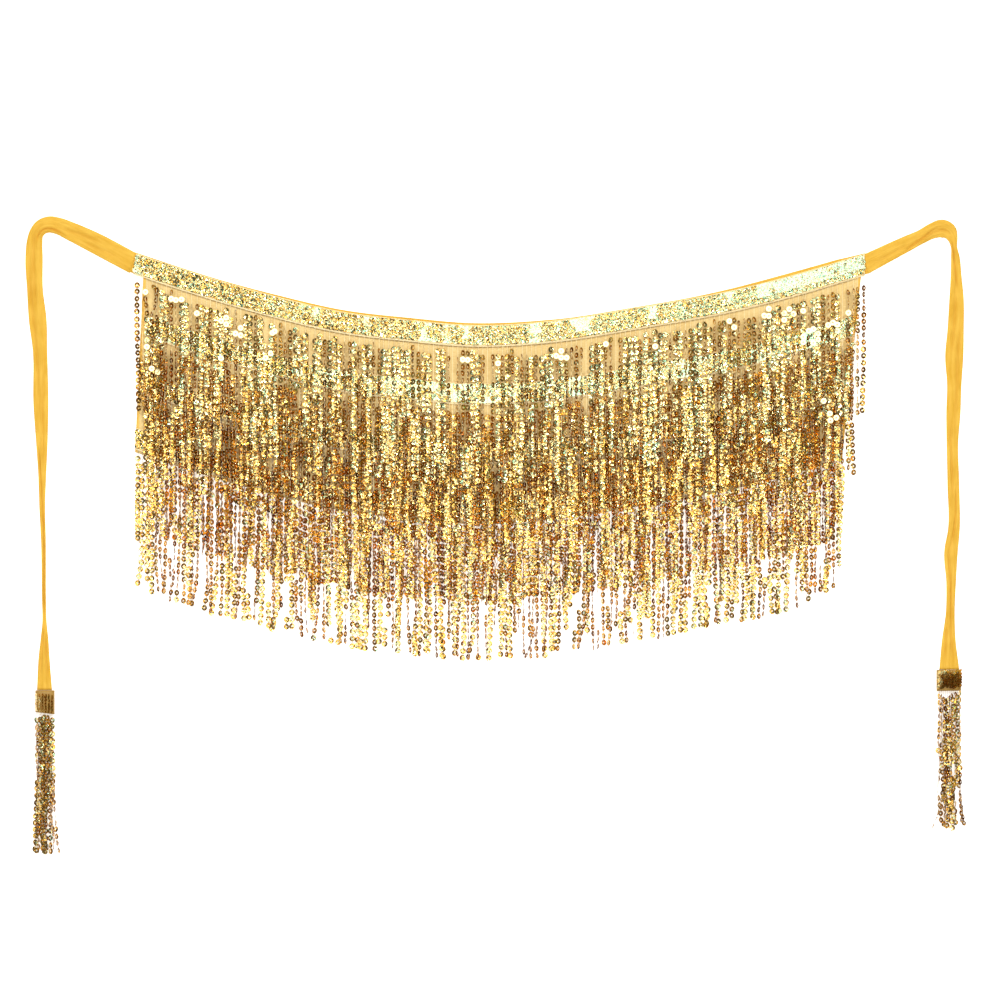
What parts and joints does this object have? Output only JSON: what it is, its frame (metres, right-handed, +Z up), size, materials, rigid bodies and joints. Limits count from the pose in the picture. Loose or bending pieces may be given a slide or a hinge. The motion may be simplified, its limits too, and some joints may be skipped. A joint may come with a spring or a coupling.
{
  "type": "fringed sequin hip belt",
  "caption": "Hip belt laid flat: cloth ties ending in tassels, a sequin waist band, and a cloth panel under tiers of looped sequin fringe.",
  "frame": {"origin": "centre of the bounding box, on the surface that the belt lies on", "axes": "+X along the waist, towards the tie with the wider tassel; +Y from the fringe to the waist; +Z up from the surface"},
  "size_m": [1.0323, 0.7043, 0.0078],
  "materials": {
    "yellow_cloth": "soft",
    "gold_backing_cloth": "matt",
    "sequin_trim": "gloss"
  },
  "bodies": {
    "root": {"waist_strip": "yellow_cloth", "tie_left": "yellow_cloth", "tie_right": "yellow_cloth", "skirt_panel": "gold_backing_cloth", "fringe_tier_1": "sequin_trim", "fringe_tier_2": "sequin_trim", "fringe_tier_3": "sequin_trim", "fringe_tier_4": "sequin_trim", "tassel_left": "sequin_trim", "tassel_right": "sequin_trim"}
  },
  "joints": []
}
